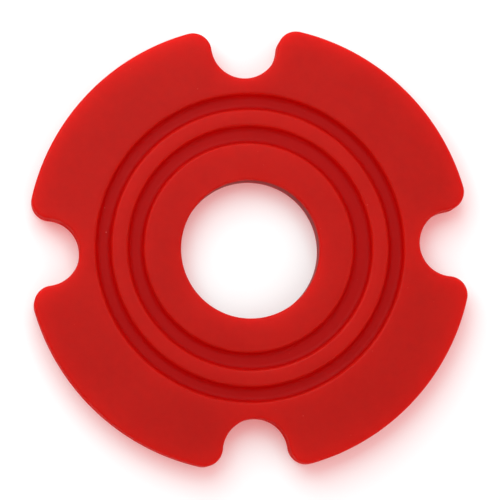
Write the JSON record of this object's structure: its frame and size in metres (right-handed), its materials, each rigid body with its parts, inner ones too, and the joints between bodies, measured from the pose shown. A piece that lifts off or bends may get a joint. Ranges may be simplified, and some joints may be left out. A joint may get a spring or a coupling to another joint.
{
  "type": "friction disc",
  "caption": "Flat round moulded rubber disc with a centre hole, ring grooves on top and round-ended rim notches, for gripping a watch case while its back is opened.",
  "frame": {"origin": "centre of the flat underside, on the disc's axis", "axes": "+Z along the disc's axis, out of the grooved face; +X and +Y each through the middle of a rim notch"},
  "size_m": [0.0582, 0.0582, 0.0045],
  "materials": {
    "red_rubber": "satin, slightly translucent red moulded rubber"
  },
  "bodies": {
    "root": {"friction_disc": "red_rubber"}
  },
  "joints": []
}
